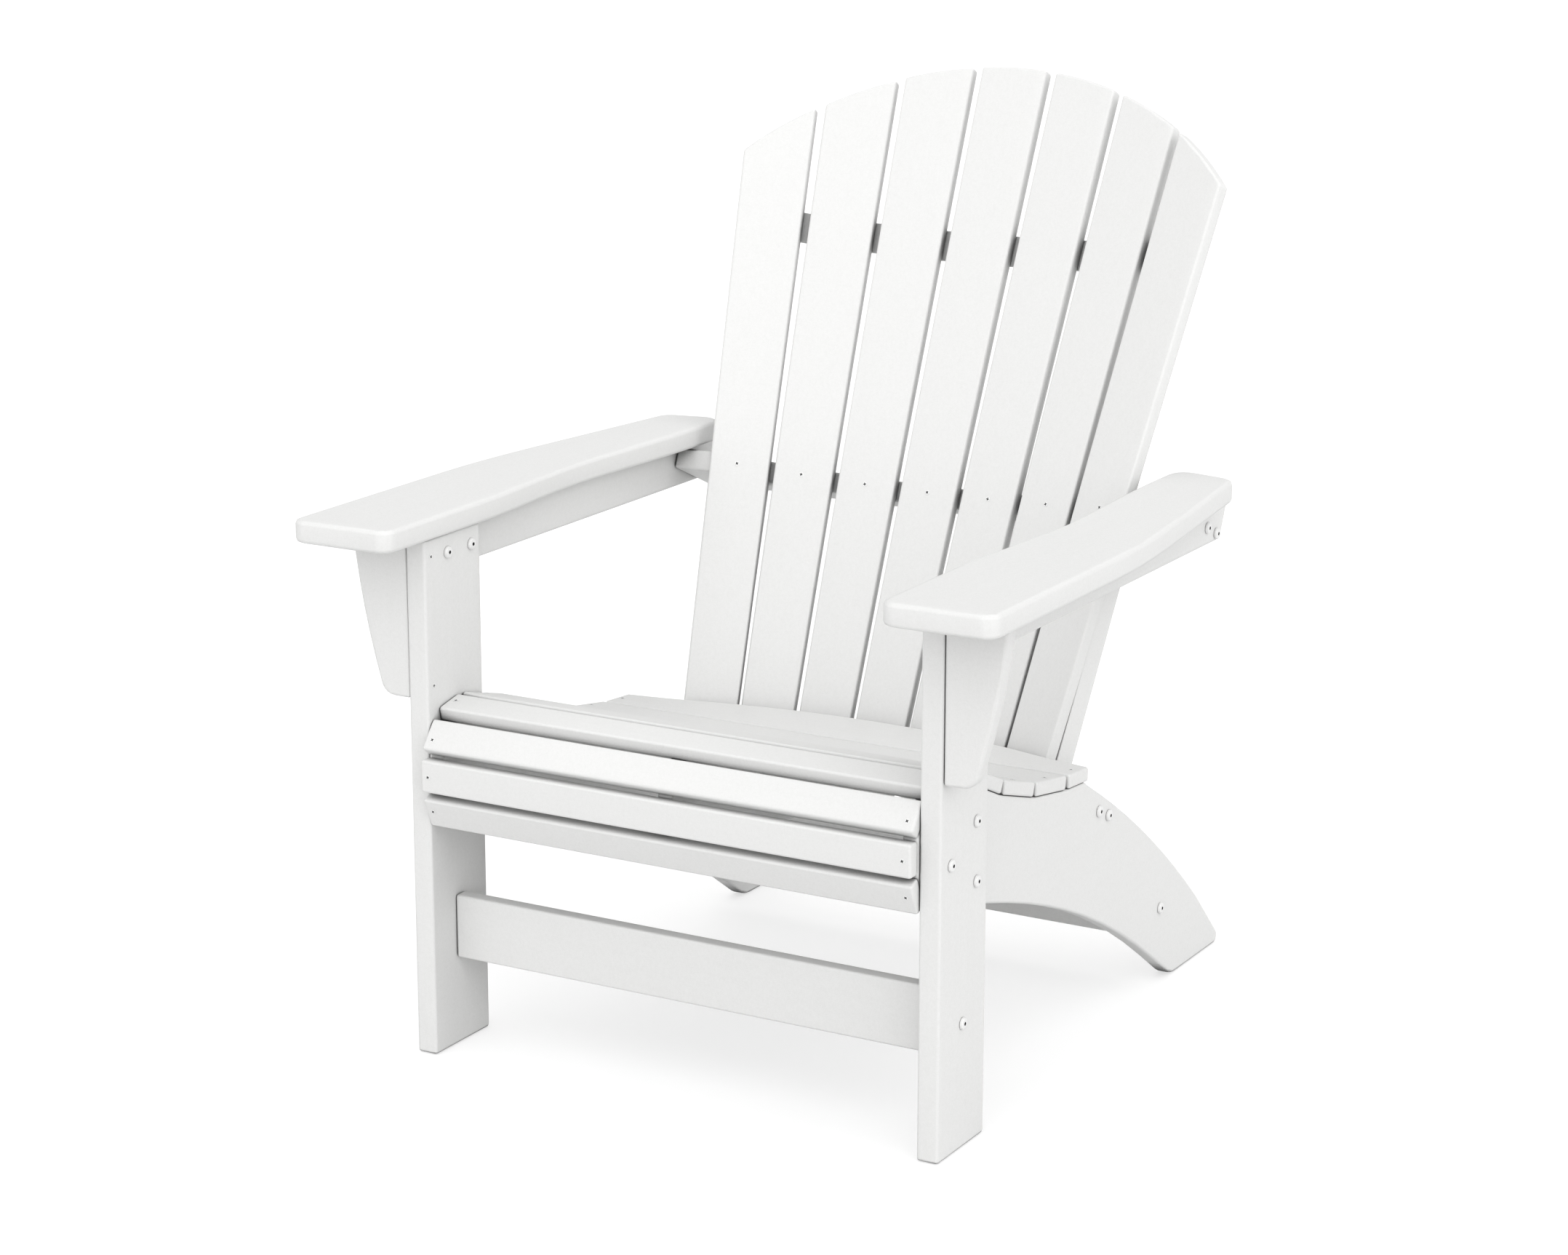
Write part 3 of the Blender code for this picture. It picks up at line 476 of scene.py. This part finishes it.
def lumber_finish(direction):
    """White plastic lumber with its streaks along one direction of board."""
    name = f"white_lumber_along_{direction}"
    finish = bpy.data.materials.get(name)
    if finish:
        return finish
    colours = bpy.context.scene.chair_colours
    finish, tree, surface, grain = principled_with(name, polymer_grain, 0.00012, 0.55)
    gaps = effect_node(tree, gap_shade)
    gaps.inputs["Reach"].default_value = 0.04
    gaps.inputs["Darkest"].default_value = 0.15
    tree.links.new(grain.outputs["Colour"], gaps.inputs["Colour"])
    tree.links.new(gaps.outputs["Colour"], surface.inputs["Base Color"])
    place = tree.nodes.new("ShaderNodeTexCoord").outputs["Object"]
    facing = tree.nodes.new("ShaderNodeNewGeometry").outputs["Normal"]
    for output, socket in ((place, "Board Vector"), (facing, "Board Normal")):
        turn = tree.nodes.new("ShaderNodeMapping")
        turn.vector_type = "TEXTURE"
        turn.inputs["Rotation"].default_value = [math.radians(a) for a in GRAIN_TURN[direction]]
        tree.links.new(output, turn.inputs["Vector"])
        tree.links.new(turn.outputs["Vector"], grain.inputs[socket])
    grain.inputs["Main Colour"].default_value = (*colours.lumber, 1.0)
    grain.inputs["Fleck Colour"].default_value = (*colours.lumber_fleck, 1.0)
    grain.inputs["Pebble Scale"].default_value = 820.0
    grain.inputs["Base Roughness"].default_value = 0.52
    surface.inputs["IOR"].default_value = 1.49
    surface.inputs["Specular IOR Level"].default_value = 0.45
    return finish


def coated_finish():
    """White baked coating on the bolts and screws."""
    finish = bpy.data.materials.get("coated_fastener")
    if finish:
        return finish
    colours = bpy.context.scene.chair_colours
    finish, _, surface, _ = speckled_with(
        "coated_fastener",
        colours.fastener,
        scale=1500.0,
        roughness=0.32,
        bump_distance=0.00004,
        bump_strength=0.4,
    )
    surface.inputs["Coat Weight"].default_value = 0.25
    surface.inputs["Coat Roughness"].default_value = 0.2
    return finish


def recess_finish():
    """Near-black painted shade on the walls and floors of the driver recesses."""
    finish = bpy.data.materials.get("driver_recess")
    if finish:
        return finish
    colours = bpy.context.scene.chair_colours
    finish, _, surface, _ = speckled_with(
        "driver_recess",
        colours.recess,
        scale=2200.0,
        roughness=0.75,
        bump_distance=0.00003,
        bump_strength=0.3,
    )
    surface.inputs["Specular IOR Level"].default_value = 0.2
    return finish


# ---------------------------------------------------------------- shading of the boards
def soft_edge_group():
    """Geometry nodes that join a board's loose corners and keep only real corners sharp."""
    group = bpy.data.node_groups.get("soft_board_edges")
    if group:
        return group
    group = bpy.data.node_groups.new("soft_board_edges", "GeometryNodeTree")
    group.interface.new_socket("Geometry", in_out="INPUT", socket_type="NodeSocketGeometry")
    group.interface.new_socket("Geometry", in_out="OUTPUT", socket_type="NodeSocketGeometry")
    inside = group.nodes.new("NodeGroupInput")
    out = group.nodes.new("NodeGroupOutput")
    merge = group.nodes.new("GeometryNodeMergeByDistance")
    merge.inputs["Distance"].default_value = MERGE_WITHIN
    smooth = group.nodes.new("GeometryNodeSetShadeSmooth")
    smooth.domain = "FACE"
    crease = group.nodes.new("GeometryNodeSetShadeSmooth")
    crease.domain = "EDGE"
    crease.inputs["Shade Smooth"].default_value = False
    angle = group.nodes.new("GeometryNodeInputMeshEdgeAngle")
    sharp = group.nodes.new("FunctionNodeCompare")
    sharp.operation = "GREATER_THAN"
    sharp.inputs[1].default_value = SHARP_EDGE
    group.links.new(inside.outputs[0], merge.inputs["Geometry"])
    group.links.new(merge.outputs["Geometry"], smooth.inputs["Geometry"])
    group.links.new(smooth.outputs["Geometry"], crease.inputs["Geometry"])
    group.links.new(angle.outputs["Unsigned Angle"], sharp.inputs[0])
    group.links.new(sharp.outputs["Result"], crease.inputs["Selection"])
    group.links.new(crease.outputs["Geometry"], out.inputs[0])
    return group


def soften(board):
    """Smooth, flat-faced shading on a board, with rounded edges that catch the light."""
    joined = board.modifiers.new("soft_edges", "NODES")
    joined.node_group = soft_edge_group()
    flat = board.modifiers.new("flat_faces", "WEIGHTED_NORMAL")
    flat.mode = "FACE_AREA"
    flat.weight = 50
    flat.keep_sharp = True


# ---------------------------------------------------------------- bolts and screws
def hexagon(across_flats):
    """A function that gives a hexagon's reach from its middle at an angle."""

    def reach(angle):
        return across_flats / 2 / math.cos((angle + math.pi / 6) % (math.pi / 3) - math.pi / 6)

    return reach


def cross(length, width):
    """A function that gives a plus shape's reach from its middle at an angle."""

    def reach(angle):
        turned = (angle + math.pi / 4) % (math.pi / 2) - math.pi / 4
        side = abs(math.sin(turned))
        along = length / 2 / math.cos(turned)
        return min(along, width / 2 / side) if side > 1e-6 else along

    return reach


def headed_mesh(name, head, height, recess, depth, shank, shank_length, rays):
    """A round-headed fastener along z, seated at z = 0, with a driver recess in its top."""
    profile = [(shank / 2, -shank_length), (shank / 2, HEAD_UNDERSIDE), (head / 2, HEAD_UNDERSIDE)]
    for step in range(DOME_STEPS + 1):
        turn = math.pi / 2 * step / DOME_STEPS
        radius = head / 2 * (DOME_FLAT + (1 - DOME_FLAT) * math.cos(turn))
        profile.append((radius, height * (DOME_SIDE + (1 - DOME_SIDE) * math.sin(turn))))
    profile += [(recess, height), (lambda angle: recess(angle) * RECESS_TAPER, height - depth)]
    built = bmesh.new()
    rings = []
    for reach, z in profile:
        ring = []
        for angle in rays:
            radius = reach(angle) if callable(reach) else reach
            ring.append(built.verts.new((radius * math.cos(angle), radius * math.sin(angle), z)))
        rings.append(ring)
    built.faces.new(rings[0][::-1])
    count = len(rays)
    for level, (low, high) in enumerate(zip(rings, rings[1:])):
        for here in range(count):
            there = (here + 1) % count
            wall = built.faces.new((low[here], low[there], high[there], high[here]))
            # The recess's walls and floor take material 1, the near-black painted shade of the
            # recess.
            wall.material_index = 1 if level == len(rings) - 2 else 0
    floor = built.faces.new(rings[-1])
    floor.material_index = 1
    mesh = bpy.data.meshes.new(name)
    built.to_mesh(mesh)
    built.free()
    mesh.shade_smooth()
    mesh.set_sharp_from_angle(angle=SHARP_HEAD_EDGE)
    mesh.materials.append(coated_finish())
    # Material 1 is the painted shade in the recess.
    mesh.materials.append(recess_finish())
    return mesh


def even_rays(count):
    return [2 * math.pi * step / count for step in range(count)]


def cross_rays(length, width):
    """Angles that meet every corner of a plus shape, with two more between them on each side."""
    corner = math.atan2(width, length)
    quarter = [-math.pi / 4, -(math.pi / 4 + corner) / 2, -corner, -corner / 2, 0.0]
    quarter += [corner / 2, corner, (math.pi / 4 + corner) / 2]
    return [turn + math.pi / 2 * side for side in range(4) for turn in quarter]


def placed(name, mesh, point, outward, spin):
    """An object of a fastener's mesh, seated at a point with its head facing outward."""
    thing = bpy.data.objects.new(name, mesh)
    bpy.context.scene.collection.objects.link(thing)
    turn = outward.to_track_quat("Z", "Y").to_matrix().to_4x4()
    thing.matrix_world = Matrix.Translation(point) @ turn @ Matrix.Rotation(spin, 4, "Z")
    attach(thing, BODY)
    return thing


def surface_of(node):
    """A board's surface, to seat screws on."""
    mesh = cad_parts[node].data
    corners = [vertex.co.copy() for vertex in mesh.vertices]
    return BVHTree.FromPolygons(corners, [list(face.vertices) for face in mesh.polygons])


def seat_on(node, start, direction):
    """The point and outward normal where a line first meets a board."""
    point, normal, _, _ = surface_of(node).ray_cast(Vector(start), Vector(direction))
    if point is None:
        raise RuntimeError(f"no board {node} under the screw at {tuple(start)}")
    return point, normal


def rise_of(node):
    """How far up the leaning back the middle of a brace lies."""
    rises = [vertex.co.dot(UP_THE_BACK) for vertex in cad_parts[node].data.vertices]
    return (min(rises) + max(rises)) / 2


def middle_at_rise(node, rise):
    """The x half way across a back slat, at one distance up the leaning back."""
    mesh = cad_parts[node].data
    found = []
    for edge in mesh.edges:
        first, second = (mesh.vertices[i].co for i in edge.vertices)
        below, above = first.dot(UP_THE_BACK) - rise, second.dot(UP_THE_BACK) - rise
        if below * above < 0:
            found.append(first.lerp(second, below / (below - above)).x)
    if not found:
        raise RuntimeError(f"back slat {node} doesn't reach {rise} up the back")
    return (min(found) + max(found)) / 2


# ---------------------------------------------------------------- operators
class CHAIR_OT_finish_boards(bpy.types.Operator):
    """Give every board its plastic-lumber finish and soft edges"""

    bl_idname = "chair.finish_boards"
    bl_label = "Finish Boards"

    def execute(self, context):
        for direction, boards in BOARDS_ALONG.items():
            for board in boards:
                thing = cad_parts[board]
                for slot in thing.material_slots:
                    slot.material = lumber_finish(direction)
                soften(thing)
        return {"FINISHED"}


class CHAIR_OT_fit_bolts(bpy.types.Operator):
    """Fit a button-head bolt with a hexagon socket in every bolt hole"""

    bl_idname = "chair.fit_bolts"
    bl_label = "Fit Bolts"

    def execute(self, context):
        sizes = context.scene.chair_sizes
        meshes = {}
        bolts = sorted(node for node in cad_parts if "_bolt" in node)
        if not bolts:
            raise RuntimeError("the packed chair has no bolts")
        for number, node in enumerate(bolts):
            low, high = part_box(node)
            middle = (low + high) / 2
            side = 1 if middle.x > 0 else -1
            outward = -side if node.startswith("arm_rail_bolt") else side
            tip, top = (low.x, high.x) if outward > 0 else (high.x, low.x)
            seat = top - outward * sizes.bolt_height
            length = round(abs(seat - tip), 4)
            if length not in meshes:
                meshes[length] = headed_mesh(
                    f"button_bolt_{len(meshes) + 1}",
                    sizes.bolt_head,
                    sizes.bolt_height,
                    hexagon(sizes.bolt_socket),
                    BOLT_SOCKET_DEPTH,
                    BOLT_SHANK,
                    length,
                    even_rays(HEAD_SIDES),
                )
            point = Vector((seat, middle.y, middle.z))
            outside = Vector((outward, 0, 0))
            bolt = placed(f"{node}_button", meshes[length], point, outside, BOLT_SPIN * number)
            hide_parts(node)
        return {"FINISHED"}


def screw_mesh(context):
    """The slat screws' shared mesh, made once."""
    mesh = bpy.data.meshes.get("slat_screw")
    if mesh:
        return mesh
    sizes = context.scene.chair_sizes
    length, width = sizes.screw_head * CROSS_LENGTH, sizes.screw_head * CROSS_WIDTH
    return headed_mesh(
        "slat_screw",
        sizes.screw_head,
        sizes.screw_height,
        cross(length, width),
        sizes.screw_height * CROSS_DEPTH,
        SCREW_SHANK,
        SCREW_LENGTH,
        cross_rays(length, width),
    )


class CHAIR_OT_fit_back_screws(bpy.types.Operator):
    """Screw each back slat to the arm brace and to the strap"""

    bl_idname = "chair.fit_back_screws"
    bl_label = "Fit Back Screws"

    def execute(self, context):
        mesh = screw_mesh(context)
        brace_rise, strap_rise = rise_of("arm_brace"), rise_of("upper_back_strap")
        for number, node in enumerate(BACK_SLATS, 1):
            across = Vector((middle_at_rise(node, brace_rise), 0.0, 0.0))
            start = across + UP_THE_BACK * brace_rise + OUT_OF_THE_BACK * FAR
            point, normal = seat_on(node, start, -OUT_OF_THE_BACK)
            placed(f"back_screw_{number}", mesh, point, normal, BACK_SCREW_SPIN * number)
            across = Vector((middle_at_rise(node, strap_rise), 0.0, 0.0))
            start = across + UP_THE_BACK * strap_rise - OUT_OF_THE_BACK * FAR
            point, normal = seat_on("upper_back_strap", start, OUT_OF_THE_BACK)
            placed(f"strap_screw_{number}", mesh, point, normal, STRAP_SCREW_SPIN * number)
        return {"FINISHED"}


class CHAIR_OT_fit_seat_screws(bpy.types.Operator):
    """Screw both ends of the seat and apron slats to the side rails"""

    bl_idname = "chair.fit_seat_screws"
    bl_label = "Fit Seat Screws"

    def execute(self, context):
        sizes = context.scene.chair_sizes
        mesh = screw_mesh(context)
        above = CAD_BOX[1].z + CLEAR
        front = CAD_BOX[0].y - CLEAR
        for slats, down in ((SEAT_SLATS, True), (APRON_SLATS, False)):
            for node in slats:
                low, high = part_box(node)
                for side, sign in (("left", 1), ("right", -1)):
                    x = sign * (high.x - sizes.slat_screw_inset)
                    if down:
                        start, way = (x, (low.y + high.y) / 2, above), (0, 0, -1)
                        if node == SEAT_SLATS[-1]:
                            start = (x, low.y + REAR_SLAT_SCREW_BACK, above)
                    else:
                        start, way = (x, front, (low.z + high.z) / 2), (0, 1, 0)
                    point, normal = seat_on(node, start, way)
                    spin = SEAT_SCREW_SPIN * point.y
                    placed(f"{node}_screw_{side}", mesh, point, normal, spin)
        return {"FINISHED"}


class CHAIR_OT_fit_bracket_screws(bpy.types.Operator):
    """Screw the arm brackets on from the inside of the front legs"""

    bl_idname = "chair.fit_bracket_screws"
    bl_label = "Fit Bracket Screws"

    def execute(self, context):
        mesh = screw_mesh(context)
        for side, sign in (("left", 1), ("right", -1)):
            low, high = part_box(f"arm_bracket_{side}")
            rises = (high.z - BRACKET_SCREW_DOWN, low.z + BRACKET_SCREW_UP)
            for number, z in enumerate(rises, 1):
                start = (0.0, (low.y + high.y) / 2, z)
                point, normal = seat_on(f"front_leg_{side}", start, (sign, 0, 0))
                spin = BRACKET_SCREW_SPIN * number
                placed(f"bracket_screw_{number}_{side}", mesh, point, normal, spin)
        return {"FINISHED"}


# ---------------------------------------------------------------- stage
def broad_light(name, heading, height, strength, spread):
    """A very soft light that falls evenly from one side of the room."""
    light = bpy.data.lights.new(name, "SUN")
    light.energy = strength
    light.angle = math.radians(spread)
    thing = bpy.data.objects.new(name, light)
    bpy.context.scene.collection.objects.link(thing)
    turn, lift = math.radians(heading), math.radians(height)
    across, ahead = math.sin(turn), -math.cos(turn)
    source = Vector((across * math.cos(lift), ahead * math.cos(lift), math.sin(lift)))
    thing.matrix_world = (-source).to_track_quat("-Z", "Y").to_matrix().to_4x4()


def studio_floor():
    """A wide pale floor with a faint unevenness in its sheen."""
    colours = bpy.context.scene.chair_colours
    built = bmesh.new()
    bmesh.ops.create_grid(built, x_segments=8, y_segments=8, size=FLOOR_HALF)
    mesh = bpy.data.meshes.new("studio_floor")
    built.to_mesh(mesh)
    built.free()
    floor = bpy.data.objects.new("studio_floor", mesh)
    floor.location = FLOOR_PLACE
    bpy.context.scene.collection.objects.link(floor)
    finish, tree, surface, peel = speckled_with(
        "studio_floor",
        colours.floor,
        scale=3.0,
        roughness=0.8,
        bump_distance=0.0002,
        bump_strength=0.1,
    )
    seen = tree.nodes.new("ShaderNodeLightPath").outputs["Is Camera Ray"]
    share = remap(tree, seen, 0.0, 1.0, FLOOR_BOUNCE, FLOOR_SHADED)
    glow = remap(tree, seen, 0.0, 1.0, 0.0, FLOOR_GLOW)
    tree.links.new(scaled(tree, peel.outputs["Colour"], share), surface.inputs["Base Color"])
    surface.inputs["Emission Color"].default_value = (1.0, 1.0, 1.0, 1.0)
    tree.links.new(glow, surface.inputs["Emission Strength"])
    mesh.materials.append(finish)


def studio_room(scene):
    """A white room that is dimmer on the side behind the chair."""
    world = bpy.data.worlds.new("studio_world")
    world.use_nodes = True
    tree = world.node_tree
    sky = tree.nodes["Background"]
    sky.inputs["Color"].default_value = (1.0, 1.0, 1.0, 1.0)
    behind = tree.nodes.new("ShaderNodeVectorMath")
    behind.operation = "DOT_PRODUCT"
    behind.inputs[1].default_value = BEHIND
    place = tree.nodes.new("ShaderNodeTexCoord").outputs["Generated"]
    tree.links.new(place, behind.inputs[0])
    strength = remap(tree, behind.outputs["Value"], -0.2, 0.6, ROOM_BEFORE, ROOM_BEHIND)
    tree.links.new(strength, sky.inputs["Strength"])
    scene.world = world


def studio_camera(scene):
    """The camera, placed from the fronts of the legs."""
    lens = bpy.data.cameras.new("chair_camera")
    lens.sensor_fit = "HORIZONTAL"
    lens.sensor_width = SENSOR_WIDTH
    lens.lens = scene.chair_sizes.camera_lens
    camera = bpy.data.objects.new("chair_camera", lens)
    scene.collection.objects.link(camera)
    x, ahead, z = CAMERA_PLACE
    level = math.cos(CAMERA_DROP)
    way = Vector(
        (
            -math.sin(CAMERA_SWING) * level,
            math.cos(CAMERA_SWING) * level,
            -math.sin(CAMERA_DROP),
        )
    )
    camera.matrix_world = (
        Matrix.Translation((x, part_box("front_leg_left")[0].y + ahead, z))
        @ way.to_track_quat("-Z", "Y").to_matrix().to_4x4()
        @ Matrix.Rotation(CAMERA_ROLL, 4, "Z")
    )
    scene.camera = camera


class CHAIR_OT_set_stage(bpy.types.Operator):
    """Set the pale floor, the soft studio lights and the camera"""

    bl_idname = "chair.set_stage"
    bl_label = "Set Stage"

    def execute(self, context):
        studio_floor()
        studio_room(context.scene)
        context.scene.view_settings.view_transform = "Standard"
        for name, light in LIGHTS.items():
            broad_light(name, *light)
        studio_camera(context.scene)
        return {"FINISHED"}


class CHAIR_PT_panel(bpy.types.Panel):
    """The chair's sizes, colours and building steps"""

    bl_label = "Adirondack Chair"
    bl_idname = "CHAIR_PT_panel"
    bl_space_type = "VIEW_3D"
    bl_region_type = "UI"
    bl_category = "Chair"

    def draw(self, context):
        layout = self.layout
        for group in (context.scene.chair_sizes, context.scene.chair_colours):
            box = layout.box()
            for name in group.__annotations__:
                box.prop(group, name)
        for step in STEPS:
            layout.operator(step.bl_idname)


STEPS = (
    CHAIR_OT_set_stage,
    CHAIR_OT_finish_boards,
    CHAIR_OT_fit_bolts,
    CHAIR_OT_fit_back_screws,
    CHAIR_OT_fit_seat_screws,
    CHAIR_OT_fit_bracket_screws,
)
CLASSES = (ChairSizes, ChairColours, *STEPS, CHAIR_PT_panel)


def register():
    for cls in CLASSES:
        bpy.utils.register_class(cls)
    bpy.types.Scene.chair_sizes = PointerProperty(type=ChairSizes)
    bpy.types.Scene.chair_colours = PointerProperty(type=ChairColours)


def unregister():
    del bpy.types.Scene.chair_colours
    del bpy.types.Scene.chair_sizes
    for cls in reversed(CLASSES):
        bpy.utils.unregister_class(cls)


def main():
    register()
    bpy.ops.chair.set_stage()
    bpy.ops.chair.finish_boards()
    bpy.ops.chair.fit_bolts()
    bpy.ops.chair.fit_back_screws()
    bpy.ops.chair.fit_seat_screws()
    bpy.ops.chair.fit_bracket_screws()


if __name__ == "__main__":
    main()
